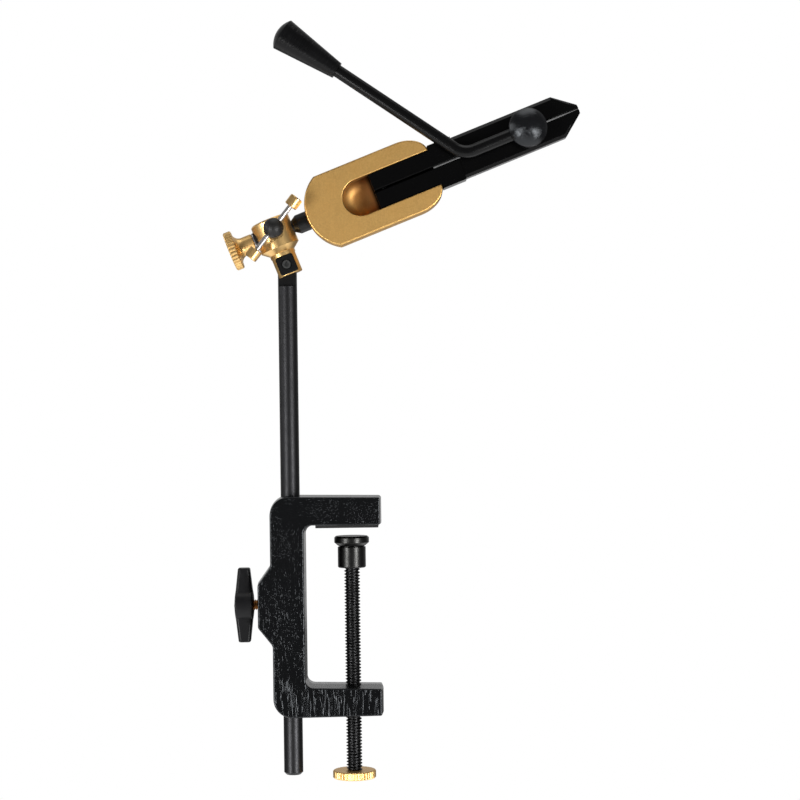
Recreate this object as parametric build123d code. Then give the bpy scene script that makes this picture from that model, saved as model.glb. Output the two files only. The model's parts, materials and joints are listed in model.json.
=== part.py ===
from build123d import *
import os
from math import asin, cos, radians, sin, sqrt, tan

# Fly tying vise: a C-clamp, a post, a tilting knuckle and rotary jaws that a cam lever opens.
# Millimetres, +Z up, +X from the post towards the jaw tip, -Y towards the tyer's side.
# The origin is in the middle of the upper pad's underside, which lies on the table.
# Pieces are drawn with X counted from the post's axis and shifted when they are written.

# Fits
RUNNING = 0.05  # radial gap of a shaft that turns or slides in its hole
SEATED = 0.01  # radial gap of a shaft that is screwed or pressed in
FACE_GAP = 0.3  # gap between faces that pass one another
FLAT_GAP = 0.08  # gap between flats that slide on one another

# Clamp casting, on its middle plane
CLAMP_DEPTH = 25.4
CLAMP_DRAFT = 3.0
CLAMP_EDGE = 0.8
SPINE_OUTER = 10.4
SPINE_INNER = 7.6
ARM_REACH = 45.4
ARM_TAPER = 0.8
UPPER_ARM_HEIGHT = 15.0
LOWER_ARM_HEIGHT = 15.4
THROAT = 79.0
OUTER_ROUND = 10.0
INNER_ROUND = 3.5
TIP_ROUND = 1.5
BOSS_REACH = 16.8
BOSS_FLAT = 21.5
BOSS_SLOPE = 9.0
BOSS_ROUND = 3.0

# Pad under the upper arm
PAD_THICKNESS = 1.5
PAD_START = 12.7
PAD_CORNER = 1.5
PAD_WIDTH = 20.0

# Clamp screw with its swivel pad and wheel
SCREW_X = 30.4
SCREW_DIAMETER = 7.94
SCREW_LENGTH = 100.8
SPIGOT_DIAMETER = 6.0
SPIGOT_LENGTH = 6.2
TABLE_GAP = 4.55
DISC_DIAMETER = 17.4
DISC_HEIGHT = 4.9
DISC_RIM = 3.2
DISC_EDGE = 0.8
DISC_NECK = 13.4
CUP_DIAMETER = 14.0
CUP_HEIGHT = 10.4
GROOVE = 0.5
STEM_DIAMETER = 8.0
STEM_LENGTH = 3.0
WHEEL_DIAMETER = 21.5
WHEEL_THICKNESS = 4.0
WHEEL_BORE = 5.0
WHEEL_CHAMFER = 0.5

# Post and its lock
POST_DIAMETER = 9.525
POST_TOP = 120.4
POST_BOTTOM = 123.3
POST_CHAMFER = 1.2
LOCK_DROP = 38.4
STUD_DIAMETER = 5.3
STUD_SHOW = 1.8
STUD_SEAT = 6.0
TIP_LENGTH = 3.0
WING_SPAN = 37.0
WING_WIDTH = 9.8
WING_DEPTH = 10.4
WING_TAPER = 6.0
WING_ROUND = 1.6
WING_TIP_ROUND = 0.8
HUB_DIAMETER = 15.6
HUB_RIM = 8.3
HUB_CROWN = 0.8
HUB_EDGE = 0.6

# Tang on the post and the knuckle that tilts on it
TANG_THICKNESS = 4.4
TANG_SPIGOT = 6.0
TANG_SPIGOT_LENGTH = 14.0
PIVOT_RISE = 10.8
HEAD_TILT = 21.5
AXIS_RISE = 16.7
DRUM_DIAMETER = 19.9
DRUM_HEIGHT = 14.8
DRUM_EDGE = 0.8
STUB_DIAMETER = 13.0
STUB_FOOT = 5.1
STUB_EDGE = 0.25
SHOULDER_HEIGHT = 2.7
PIVOT_DIAMETER = 5.0
PIVOT_CHAMFER = 0.5
PIVOT_HEAD = 8.5
PIVOT_HEAD_HEIGHT = 3.0
SOCKET_FLATS = 2.5
HEAD_SOCKET_FLATS = 4.0
SOCKET_DEPTH = 2.0
NUT_SIZE = 9.0
NUT_THICKNESS = 2.9
NUT_ROUND = 1.2
NUT_CHAMFER = 0.3
NUT_GAP = 0.15
EAR_WEB = 1.6

# Spindle through the knuckle, with the tension knob behind it
SPINDLE_DIAMETER = 6.35
STUD_END_DIAMETER = 5.0
STUD_END_LENGTH = 12.0
COLLAR_DIAMETER = 9.7
COLLAR_LENGTH = 8.0
COLLAR_CONE = 2.5
HOLDER_SPIGOT = 11.0
SPOT_DEPTH = 0.95
WASHER_DIAMETER = 9.2
WASHER_THICKNESS = 1.3
RING_THICKNESS = 0.6
KNOB_DIAMETER = 19.9
KNOB_FLANGE = 4.0
KNOB_HUB = 9.2
KNOB_LENGTH = 13.1
KNOB_FLARE = 3.8
KNOB_CHAMFER = 0.5

# Spindle lock screw with its tommy bar
BALL_DIAMETER = 10.0
BALL_STANDOFF = 5.3
LOCK_RISE = 1.6
LOCK_FORWARD = 1.0
LOCK_SCREW_DIAMETER = 5.0
PLUG_LENGTH = 2.5
BAR_DIAMETER = 2.5
BAR_SPAN = 32.4
BAR_ANGLE = 30.0
CAP_DIAMETER = 6.6
CAP_LENGTH = 5.4
CAP_CHAMFER = 0.4
CAP_BORE = 3.4

# Jaw holder
HOLDER_LENGTH = 68.5
HOLDER_WIDTH = 36.8
HOLDER_THICKNESS = 16.0
HOLDER_EDGE = 0.8
HOLDER_CORNER = 2.0
REAR_RADIUS = 21.2
ARM_ROUND = 14.0
POCKET_WIDTH = 18.4
POCKET_LENGTH = 48.8
POCKET_BACK = 2.7
POCKET_ROUND = 6.0

# Jaws: tail in the pocket, block outside it, blade, nose
TAIL_LENGTH = 32.3
BLOCK_LENGTH = 12.5
BLADE_LENGTH = 53.9
NOSE_LENGTH = 10.8
TAIL_GAP = 0.4
BLOCK_GAP = 0.25
BLOCK_WIDTH = 22.7
BLADE_STEP = 0.6
BLADE_BEVEL = 1.5
NOSE_WIDTH = 4.5
NOSE_THICKNESS = 3.4
NOSE_DROP = 0.5
JAW_THICKNESS = 12.0
SLIT = 0.8
SLIT_BEVEL = 0.5
NOSE_GAP = 0.2
JAW_PIVOT_BACK = 16.4
JAW_PIVOT_SPREAD = 9.0
JAW_PIN_DIAMETER = 4.0
JAW_PIN_DEPTH = 8.0
PIN_HEAD_DIAMETER = 7.0
PIN_HEAD_HEIGHT = 1.2
SPRING_BACK = 26.4
SPRING_DIAMETER = 4.2
SPRING_WIRE = 0.7
SPRING_TURNS = 5
SPRING_HOLE_DEPTH = 6.0
SPRING_END_GAP = 0.2

# Cam, dome and lever
CAM_BACK = 16.9
CAM_LONG = 15.2
CAM_SHORT = 5.9
CAM_GAP = 0.1
DOME_DIAMETER = 19.0
DOME_RIM = 8.8
DOME_CROWN = 4.5
DOME_EDGE = 0.6
CAM_SPIGOT = 2.6
CAM_SCREW_DIAMETER = 4.0
CAM_SCREW_HEAD = 8.0
CAM_SCREW_LENGTH = 8.0
CAM_WASHER_DIAMETER = 18.0
CAM_WASHER_THICKNESS = 1.5
ROD_DIAMETER = 6.35
ROD_CLEARANCE = 0.8
ROD_SEAT = 7.0
LEVER_RUN = 34.4
LEVER_ANGLE = 55.8
LEVER_REACH = 75.0
LEVER_BEND = 11.0
GRIP_LENGTH = 32.3
GRIP_SMALL = 8.4
GRIP_LARGE = 16.2
GRIP_CROWN = 3.0
GRIP_BORE = 20.0

# Worked out for the clamp
PAD_END = ARM_REACH - TIP_ROUND
FRAME = Pos(-(PAD_START + PAD_END) / 2, 0, 0)
UPPER_ARM_TOP = PAD_THICKNESS + UPPER_ARM_HEIGHT
CUP_TOP = -TABLE_GAP - DISC_HEIGHT - GROOVE
CUP_FOOT = CUP_TOP - CUP_HEIGHT
SCREW_TOP = CUP_FOOT - FACE_GAP
SCREW_FOOT = SCREW_TOP - SCREW_LENGTH
POST_RADIUS = POST_DIAMETER / 2

# Worked out for the head, along its axis from the middle of the drum
PIVOT_Z = POST_TOP + PIVOT_RISE
HEAD = Pos(0, 0, PIVOT_Z) * Rot(0, -HEAD_TILT, 0) * Pos(0, 0, AXIS_RISE)
DRUM_RADIUS = DRUM_DIAMETER / 2
SPINDLE_RADIUS = SPINDLE_DIAMETER / 2
REAR_FLAT = -DRUM_RADIUS + SPOT_DEPTH
RING_REAR = REAR_FLAT - WASHER_THICKNESS - RING_THICKNESS
HOLDER_REAR = DRUM_RADIUS + COLLAR_LENGTH
HOLDER_SEAT = HOLDER_REAR + FACE_GAP
MOUTH = HOLDER_REAR + HOLDER_LENGTH
CAM_U = MOUTH + BLOCK_LENGTH + BLADE_LENGTH - CAM_BACK
HOLDER_FRONT = -HOLDER_THICKNESS / 2
HOLDER_BACK = HOLDER_THICKNESS / 2
JAW_BACK = HOLDER_BACK - POCKET_BACK - FACE_GAP
JAW_FRONT = JAW_BACK - JAW_THICKNESS
BLADE_FRONT = JAW_FRONT + BLADE_STEP
ROD_V = HOLDER_FRONT - ROD_CLEARANCE - ROD_DIAMETER / 2
BALL_V = -DRUM_RADIUS - BALL_STANDOFF
PLUG_TIP = -SPINDLE_RADIUS - FLAT_GAP
TANG_SLOT = TANG_THICKNESS + 2 * FLAT_GAP


def rounded_outline(corners):
    """Face bounded by straight runs between (x, y, corner radius) points."""
    outline = make_face(Polyline(*[(x, y) for x, y, _ in corners], close=True))
    for x, y, radius in corners:
        if radius:
            corner = outline.vertices().sort_by_distance((x, y, 0))[0]
            outline = fillet(corner, radius)
    return outline


def turned(profile):
    """Solid turned about X from (x, radius) points."""
    start, end = profile[0][0], profile[-1][0]
    outline = Polyline((start, 0), *profile, (end, 0), close=True)
    return revolve(Plane.XZ * make_face(outline), Axis.X)


def upright(profile):
    """Solid turned about Z from (z, radius) points."""
    return Rot(0, -90, 0) * turned(profile)


def crosswise(profile):
    """Solid turned about Y from (y, radius) points."""
    return Rot(0, 0, 90) * turned(profile)


def crown(start, radius, height):
    """Cap of a ball along X, standing on a disc at start."""
    ball = (radius ** 2 + height ** 2) / (2 * height)
    half_turn = asin(radius / ball) / 2
    middle = (start + height - ball + ball * cos(half_turn), ball * sin(half_turn))
    arc = ThreePointArc((start, radius), middle, (start + height, 0))
    base = Polyline(arc @ 1, (start, 0), arc @ 0)
    return revolve(Plane.XZ * make_face([arc, base]), Axis.X)


def x_rod(start, end, radius):
    """Round rod along X between two places."""
    return turned([(start, radius), (end, radius)])


def y_rod(start, end, radius):
    """Round rod along Y between two places."""
    return crosswise([(start, radius), (end, radius)])


def z_rod(start, end, radius):
    """Round rod along Z between two places."""
    return upright([(start, radius), (end, radius)])


# The clamp

def clamp_frame():
    """C-shaped casting, drafted from its parting line, bored for the post, the screw and the lock."""
    draft_shift = CLAMP_DEPTH / 2 * tan(radians(CLAMP_DRAFT))
    arm_under = PAD_THICKNESS - draft_shift
    arm_over = -THROAT
    foot = arm_over - LOWER_ARM_HEIGHT
    boss_top = -LOCK_DROP + BOSS_FLAT / 2
    boss_foot = -LOCK_DROP - BOSS_FLAT / 2
    casting = rounded_outline([
        (-SPINE_OUTER, UPPER_ARM_TOP, OUTER_ROUND),
        (ARM_REACH, UPPER_ARM_TOP - ARM_TAPER, TIP_ROUND),
        (ARM_REACH, arm_under, TIP_ROUND),
        (SPINE_INNER, arm_under, INNER_ROUND),
        (SPINE_INNER, arm_over + ARM_TAPER, INNER_ROUND),
        (ARM_REACH, arm_over, TIP_ROUND),
        (ARM_REACH, foot + ARM_TAPER, TIP_ROUND),
        (-SPINE_OUTER + ARM_TAPER, foot, OUTER_ROUND),
        (-SPINE_OUTER + ARM_TAPER, boss_foot - BOSS_SLOPE, BOSS_ROUND),
        (-BOSS_REACH, boss_foot, BOSS_ROUND),
        (-BOSS_REACH, boss_top, BOSS_ROUND),
        (-SPINE_OUTER, boss_top + BOSS_SLOPE, BOSS_ROUND),
    ])
    body = extrude(Plane.XZ * casting, CLAMP_DEPTH / 2, both=True, taper=CLAMP_DRAFT)
    body = fillet(body.faces().filter_by(Axis.Y).edges(), CLAMP_EDGE)
    seat_length = ARM_REACH - PAD_START + FACE_GAP
    body -= Pos(PAD_START - FACE_GAP, 0, 0) * Box(
        seat_length, CLAMP_DEPTH, PAD_THICKNESS, align=(Align.MIN, Align.CENTER, Align.MIN))
    body -= z_rod(foot - FACE_GAP, UPPER_ARM_TOP + FACE_GAP, POST_RADIUS + RUNNING)
    body -= Pos(SCREW_X, 0, 0) * z_rod(foot - FACE_GAP, arm_over + ARM_TAPER, SCREW_DIAMETER / 2 + RUNNING)
    body -= Pos(0, 0, -LOCK_DROP) * x_rod(-BOSS_REACH - FACE_GAP, 0, STUD_DIAMETER / 2 + RUNNING)
    return body


def upper_pad():
    """Rubber strip under the upper arm, the face that lies on the table."""
    pad = Pos(PAD_START, 0, 0) * Box(
        PAD_END - PAD_START, PAD_WIDTH, PAD_THICKNESS, align=(Align.MIN, Align.CENTER, Align.MIN))
    return fillet(pad.edges().filter_by(Axis.Z), PAD_CORNER)


def clamp_screw():
    """Screw at its thread's outer size, with a spigot for the pad and one for the wheel."""
    radius = SCREW_DIAMETER / 2
    return Pos(SCREW_X, 0, 0) * upright([
        (SCREW_FOOT - WHEEL_THICKNESS, WHEEL_BORE / 2),
        (SCREW_FOOT, WHEEL_BORE / 2),
        (SCREW_FOOT, radius),
        (SCREW_TOP, radius),
        (SCREW_TOP, SPIGOT_DIAMETER / 2),
        (SCREW_TOP + SPIGOT_LENGTH, SPIGOT_DIAMETER / 2),
    ])


def thumb_wheel():
    """Brass wheel on the lower end of the screw."""
    radius = WHEEL_DIAMETER / 2
    foot = SCREW_FOOT - WHEEL_THICKNESS
    wheel = upright([
        (foot, radius - WHEEL_CHAMFER),
        (foot + WHEEL_CHAMFER, radius),
        (SCREW_FOOT - WHEEL_CHAMFER, radius),
        (SCREW_FOOT, radius - WHEEL_CHAMFER),
    ])
    wheel -= z_rod(foot, SCREW_FOOT, WHEEL_BORE / 2 + SEATED)
    return Pos(SCREW_X, 0, 0) * wheel


def pad_disc():
    """Flanged disc that bears under the table, with a stem in the cup."""
    top = -TABLE_GAP
    rim = DISC_DIAMETER / 2
    return Pos(SCREW_X, 0, 0) * upright([
        (CUP_TOP - STEM_LENGTH, STEM_DIAMETER / 2),
        (CUP_TOP, STEM_DIAMETER / 2),
        (CUP_TOP, DISC_NECK / 2 - GROOVE),
        (CUP_TOP + GROOVE, DISC_NECK / 2 - GROOVE),
        (CUP_TOP + GROOVE, DISC_NECK / 2),
        (top - DISC_RIM, rim),
        (top - DISC_EDGE, rim),
        (top, rim - DISC_EDGE),
    ])


def pad_cup():
    """Cup that carries the disc on the end of the screw."""
    cup = upright([
        (CUP_FOOT, CUP_DIAMETER / 2 - GROOVE),
        (CUP_FOOT + GROOVE, CUP_DIAMETER / 2),
        (CUP_TOP, CUP_DIAMETER / 2),
    ])
    cup -= z_rod(CUP_TOP - STEM_LENGTH - FACE_GAP, CUP_TOP, STEM_DIAMETER / 2 + SEATED)
    cup -= z_rod(CUP_FOOT, SCREW_TOP + SPIGOT_LENGTH + FACE_GAP, SPIGOT_DIAMETER / 2 + RUNNING)
    return Pos(SCREW_X, 0, 0) * cup


# The post and its lock

def lock_tip():
    """Soft brass tip between the lock stud and the post."""
    radius = STUD_DIAMETER / 2
    end = -POST_RADIUS - FLAT_GAP
    return Pos(0, 0, -LOCK_DROP) * x_rod(end - TIP_LENGTH, end, radius)


def lock_stud():
    """Brass stud from the wing knob into the boss."""
    inner = -POST_RADIUS - FLAT_GAP - TIP_LENGTH - FLAT_GAP
    outer = -BOSS_REACH - STUD_SHOW - STUD_SEAT
    return Pos(0, 0, -LOCK_DROP) * x_rod(outer, inner, STUD_DIAMETER / 2)


def lock_knob():
    """Wing knob: a crowned hub between two tapered wings."""
    inner = -BOSS_REACH - STUD_SHOW
    middle = inner - HUB_CROWN - HUB_RIM / 2
    hub_radius = HUB_DIAMETER / 2
    hub = x_rod(-HUB_RIM / 2, HUB_RIM / 2, hub_radius)
    hub += crown(HUB_RIM / 2, hub_radius, HUB_CROWN)
    hub += Rot(0, 0, 180) * crown(HUB_RIM / 2, hub_radius, HUB_CROWN)
    hub = fillet(hub.edges().filter_by(GeomType.CIRCLE), HUB_EDGE)
    wing = extrude(Rectangle(WING_WIDTH, WING_DEPTH), WING_SPAN / 2, taper=WING_TAPER)
    wing = fillet(wing.edges().sort_by(Axis.Z)[4:8], WING_ROUND)
    wing = fillet(wing.faces().sort_by(Axis.Z)[-1].edges(), WING_TIP_ROUND)
    knob = hub + wing + Rot(180, 0, 0) * wing
    knob = Pos(middle, 0, 0) * knob - x_rod(inner - STUD_SEAT, inner + HUB_CROWN, STUD_DIAMETER / 2 + SEATED)
    return Pos(0, 0, -LOCK_DROP) * knob


def post():
    """Round steel post, bored at the top for the tang's spigot."""
    body = upright([
        (-POST_BOTTOM, POST_RADIUS - POST_CHAMFER),
        (POST_CHAMFER - POST_BOTTOM, POST_RADIUS),
        (POST_TOP, POST_RADIUS),
    ])
    return body - z_rod(POST_TOP - TANG_SPIGOT_LENGTH - FACE_GAP, POST_TOP, TANG_SPIGOT / 2 + RUNNING)


def post_tang():
    """Flat tang on which the knuckle tilts, rounded about the pivot."""
    foot = POST_TOP + FLAT_GAP
    blade = z_rod(foot, PIVOT_Z + POST_DIAMETER, POST_RADIUS)
    flat = rounded_outline([
        (-POST_RADIUS, foot, 0),
        (POST_RADIUS, foot, 0),
        (POST_RADIUS, PIVOT_Z + POST_RADIUS, POST_RADIUS - SEATED),
        (-POST_RADIUS, PIVOT_Z + POST_RADIUS, POST_RADIUS - SEATED),
    ])
    blade &= extrude(Plane.XZ * flat, TANG_THICKNESS / 2, both=True)
    blade += z_rod(foot - TANG_SPIGOT_LENGTH, foot + FLAT_GAP, TANG_SPIGOT / 2)
    return blade - Pos(0, 0, PIVOT_Z) * y_rod(-POST_DIAMETER, POST_DIAMETER, PIVOT_DIAMETER / 2 + RUNNING)


# The knuckle

def knuckle():
    """Turned brass drum on a slotted stub, bored across for the spindle."""
    half = DRUM_HEIGHT / 2
    stub = STUB_DIAMETER / 2
    foot = -AXIS_RISE - STUB_FOOT
    body = upright([
        (foot, stub - STUB_EDGE),
        (foot + STUB_EDGE, stub),
        (-half - SHOULDER_HEIGHT, stub),
        (-half, DRUM_RADIUS),
        (half - DRUM_EDGE, DRUM_RADIUS),
        (half, DRUM_RADIUS - DRUM_EDGE),
    ])
    slot_top = -AXIS_RISE + POST_RADIUS + FACE_GAP
    body -= Pos(0, 0, foot) * Box(
        DRUM_DIAMETER, TANG_SLOT, slot_top - foot, align=(Align.CENTER, Align.CENTER, Align.MIN))
    body -= x_rod(-DRUM_DIAMETER, DRUM_DIAMETER, SPINDLE_RADIUS + RUNNING)
    body -= x_rod(-DRUM_DIAMETER, REAR_FLAT, WASHER_DIAMETER / 2 + FACE_GAP)
    lock = Pos(LOCK_FORWARD, 0, LOCK_RISE)
    body -= lock * y_rod(-DRUM_RADIUS, 0, LOCK_SCREW_DIAMETER / 2 + RUNNING)
    body -= lock * y_rod(-DRUM_DIAMETER, -DRUM_RADIUS + SPOT_DEPTH, BALL_DIAMETER / 2 + FACE_GAP)
    ear = TANG_SLOT / 2 + EAR_WEB
    pivot = Pos(0, 0, -AXIS_RISE)
    body -= pivot * y_rod(-DRUM_DIAMETER, DRUM_DIAMETER, PIVOT_DIAMETER / 2 + RUNNING)
    pocket_size = NUT_SIZE + 2 * NUT_GAP
    pocket = RectangleRounded(pocket_size, pocket_size, NUT_ROUND)
    body -= pivot * Pos(0, -ear, 0) * extrude(Plane.XZ * pocket, STUB_DIAMETER)
    return body - pivot * y_rod(ear, DRUM_DIAMETER, PIVOT_HEAD / 2 + FACE_GAP)


def pivot_screw():
    """Tilt screw through both ears and the tang, socketed at the front end."""
    ear = TANG_SLOT / 2 + EAR_WEB
    front = -ear - NUT_THICKNESS
    radius = PIVOT_DIAMETER / 2
    screw = crosswise([
        (front - FLAT_GAP, radius - PIVOT_CHAMFER),
        (front + PIVOT_CHAMFER, radius),
        (ear, radius),
        (ear, PIVOT_HEAD / 2),
        (ear + PIVOT_HEAD_HEIGHT, PIVOT_HEAD / 2),
    ])
    socket = RegularPolygon(SOCKET_FLATS / 2, 6, major_radius=False)
    screw -= Pos(0, front - FLAT_GAP, 0) * extrude(Plane.XZ * socket, -SOCKET_DEPTH)
    head_socket = RegularPolygon(HEAD_SOCKET_FLATS / 2, 6, major_radius=False)
    screw -= Pos(0, ear + PIVOT_HEAD_HEIGHT, 0) * extrude(Plane.XZ * head_socket, SOCKET_DEPTH)
    return Pos(0, 0, -AXIS_RISE) * screw


def pivot_nut():
    """Square nut in its pocket on the front ear."""
    ear = TANG_SLOT / 2 + EAR_WEB
    nut = extrude(Plane.XZ * RectangleRounded(NUT_SIZE, NUT_SIZE, NUT_ROUND), NUT_THICKNESS)
    nut = chamfer(nut.faces().sort_by(Axis.Y)[0].edges(), NUT_CHAMFER)
    nut -= y_rod(-2 * NUT_THICKNESS, NUT_THICKNESS, PIVOT_DIAMETER / 2 + SEATED)
    return Pos(0, -ear, -AXIS_RISE) * nut


# The spindle and its tension knob

def spindle():
    """Shaft with a coned collar in front, a spigot for the holder and a threaded end behind."""
    shaft = SPINDLE_DIAMETER / 2
    collar = COLLAR_DIAMETER / 2
    neck = DRUM_RADIUS + FACE_GAP
    return turned([
        (RING_REAR - STUD_END_LENGTH, STUD_END_DIAMETER / 2),
        (REAR_FLAT - WASHER_THICKNESS / 2, STUD_END_DIAMETER / 2),
        (REAR_FLAT - WASHER_THICKNESS / 2, shaft),
        (neck, shaft),
        (neck + COLLAR_CONE, collar),
        (HOLDER_SEAT, collar),
        (HOLDER_SEAT, shaft),
        (HOLDER_SEAT + HOLDER_SPIGOT, shaft),
    ])


def friction_washer():
    """Black fibre washer on the flat behind the drum."""
    rear = REAR_FLAT - WASHER_THICKNESS
    washer = x_rod(rear, REAR_FLAT, WASHER_DIAMETER / 2)
    return washer - x_rod(rear, REAR_FLAT, SPINDLE_RADIUS + FACE_GAP)


def thrust_ring():
    """Thin steel ring that the tension knob bears on."""
    front = RING_REAR + RING_THICKNESS
    ring = x_rod(RING_REAR, front, WASHER_DIAMETER / 2)
    return ring - x_rod(RING_REAR, front, STUD_END_DIAMETER / 2 + RUNNING)


def tension_knob():
    """Flanged brass knob on the spindle's rear end, flared from hub to flange."""
    front = RING_REAR - FLAT_GAP
    rear = front - KNOB_LENGTH
    hub = KNOB_HUB / 2
    rim = KNOB_DIAMETER / 2
    face = rear + KNOB_FLANGE
    waist = KNOB_FLARE * (1 - sqrt(0.5))
    nose = Polyline(
        (rear, 0), (rear, rim - KNOB_CHAMFER), (rear + KNOB_CHAMFER, rim), (face - KNOB_CHAMFER, rim),
        (face, rim - KNOB_CHAMFER), (face, hub + KNOB_FLARE))
    flare = ThreePointArc(nose @ 1, (face + waist, hub + waist), (face + KNOB_FLARE, hub))
    tail = Polyline(
        flare @ 1, (front - KNOB_CHAMFER, hub), (front, hub - KNOB_CHAMFER), (front, 0), (rear, 0))
    knob = revolve(Plane.XZ * make_face([nose, flare, tail]), Axis.X)
    bore_end = RING_REAR - STUD_END_LENGTH - FACE_GAP
    return knob - x_rod(bore_end, front, STUD_END_DIAMETER / 2 + RUNNING)


# The spindle lock

def lock_plug():
    """Nylon plug that the lock screw presses on the spindle."""
    plug = y_rod(PLUG_TIP - PLUG_LENGTH, PLUG_TIP, LOCK_SCREW_DIAMETER / 2)
    return Pos(LOCK_FORWARD, 0, LOCK_RISE) * plug


def spindle_lock_screw():
    """Ball-headed screw, cross-drilled for the tommy bar."""
    inner = PLUG_TIP - PLUG_LENGTH - FLAT_GAP
    screw = y_rod(BALL_V, inner, LOCK_SCREW_DIAMETER / 2) + Pos(0, BALL_V, 0) * Sphere(BALL_DIAMETER / 2)
    cross = x_rod(-BALL_DIAMETER, BALL_DIAMETER, BAR_DIAMETER / 2 + RUNNING)
    screw -= Pos(0, BALL_V, 0) * Rot(0, -BAR_ANGLE, 0) * cross
    return Pos(LOCK_FORWARD, 0, LOCK_RISE) * screw


def bar_place(shape):
    """Turn a shape built along X into the line of the tommy bar."""
    return Pos(LOCK_FORWARD, BALL_V, LOCK_RISE) * Rot(0, -BAR_ANGLE, 0) * shape


def tommy_bar():
    """Steel bar through the ball."""
    half = (BAR_SPAN - CAP_LENGTH) / 2 + CAP_BORE
    return bar_place(x_rod(-half, half, BAR_DIAMETER / 2))


def tommy_cap(side):
    """Brass cap on one end of the tommy bar, +1 for the jaw side and -1 for the knob side."""
    radius = CAP_DIAMETER / 2
    cap = turned([
        (0, radius - CAP_CHAMFER),
        (CAP_CHAMFER, radius),
        (CAP_LENGTH - CAP_CHAMFER, radius),
        (CAP_LENGTH, radius - CAP_CHAMFER),
    ])
    cap -= x_rod(0, CAP_BORE + FLAT_GAP, BAR_DIAMETER / 2 + SEATED)
    inner = (BAR_SPAN - CAP_LENGTH) / 2
    turn = Rot(0, 0, 0) if side > 0 else Rot(0, 180, 0)
    return bar_place(turn * Pos(inner, 0, 0) * cap)


# The jaw holder and the jaws

def slab(outline, front, back):
    """Solid between two depths from an outline on the head's middle plane."""
    return Pos(0, back, 0) * extrude(Plane.XZ * outline, back - front)


def jaw_pin_place(side):
    """Place of one jaw's pivot, +1 for the upper jaw and -1 for the lower."""
    return Pos(MOUTH - JAW_PIVOT_BACK, 0, side * JAW_PIVOT_SPREAD / 2)


def holder_outline():
    """Outline of the fork: an arc behind, straight sides, oval arm ends."""
    half = HOLDER_WIDTH / 2
    pocket_half = POCKET_WIDTH / 2
    arm_start = MOUTH - ARM_ROUND
    corner = HOLDER_REAR + REAR_RADIUS - sqrt(REAR_RADIUS ** 2 - half ** 2)
    back = ThreePointArc((corner, half), (HOLDER_REAR, 0), (corner, -half))
    sides = Polyline(back @ 1, (arm_start, -half), (arm_start, half), back @ 0)
    outline = make_face([back, sides])
    for side in (1, -1):
        outline = fillet(outline.vertices().sort_by_distance((corner, side * half, 0))[0], HOLDER_CORNER)
    outline += Pos(arm_start + ARM_ROUND / 2, 0) * Rectangle(ARM_ROUND, POCKET_WIDTH)
    for side in (1, -1):
        outline += Pos(arm_start, side * pocket_half) * Ellipse(ARM_ROUND, half - pocket_half)
    return outline


def jaw_pocket():
    """Round-ended, round-bottomed space that the pocket takes out of the holder."""
    half = POCKET_WIDTH / 2
    start = MOUTH - POCKET_LENGTH + half
    end = MOUTH + POCKET_WIDTH
    outline = Pos((start + end) / 2, 0) * Rectangle(end - start, POCKET_WIDTH)
    outline += Pos(start, 0) * Circle(half)
    space = slab(outline, HOLDER_FRONT - FACE_GAP, HOLDER_BACK - POCKET_BACK)
    return fillet(space.faces().sort_by(Axis.Y)[-1].edges(), POCKET_ROUND)


def jaw_holder():
    """Brass fork with a pocket for the tails of the jaws."""
    body = slab(holder_outline(), HOLDER_FRONT, HOLDER_BACK)
    body = chamfer(body.faces().filter_by(Axis.Y).edges(), HOLDER_EDGE)
    body -= jaw_pocket()
    body -= x_rod(HOLDER_REAR - COLLAR_LENGTH, HOLDER_SEAT, COLLAR_DIAMETER / 2 + FLAT_GAP)
    body -= x_rod(HOLDER_REAR, HOLDER_SEAT + HOLDER_SPIGOT + FACE_GAP, SPINDLE_RADIUS + SEATED)
    head_floor = HOLDER_BACK - PIN_HEAD_HEIGHT
    for side in (1, -1):
        pin = jaw_pin_place(side)
        body -= pin * y_rod(0, HOLDER_BACK, JAW_PIN_DIAMETER / 2 + SEATED)
        body -= pin * y_rod(head_floor, HOLDER_THICKNESS, PIN_HEAD_DIAMETER / 2 + FLAT_GAP)
    return body


def jaw_pin(side):
    """Shoulder screw from the back of the holder, the pivot of one jaw."""
    return jaw_pin_place(side) * crosswise([
        (JAW_BACK - JAW_PIN_DEPTH, JAW_PIN_DIAMETER / 2),
        (HOLDER_BACK - PIN_HEAD_HEIGHT, JAW_PIN_DIAMETER / 2),
        (HOLDER_BACK - PIN_HEAD_HEIGHT, PIN_HEAD_DIAMETER / 2),
        (HOLDER_BACK, PIN_HEAD_DIAMETER / 2),
    ])


def jaw_tail():
    """Tail of the upper jaw, rounded behind to lie in the pocket."""
    start = MOUTH - TAIL_LENGTH
    end = MOUTH + BLOCK_GAP
    outer = POCKET_WIDTH / 2 - TAIL_GAP
    outline = Pos((start + end) / 2, (SLIT / 2 + outer) / 2) * Rectangle(end - start, outer - SLIT / 2)
    tail = slab(outline, JAW_FRONT, JAW_BACK)
    back_edge = tail.edges().filter_by(Axis.X).sort_by(lambda edge: edge.center().Y + edge.center().Z)[-1]
    return fillet(back_edge, POCKET_ROUND - TAIL_GAP)


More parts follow.
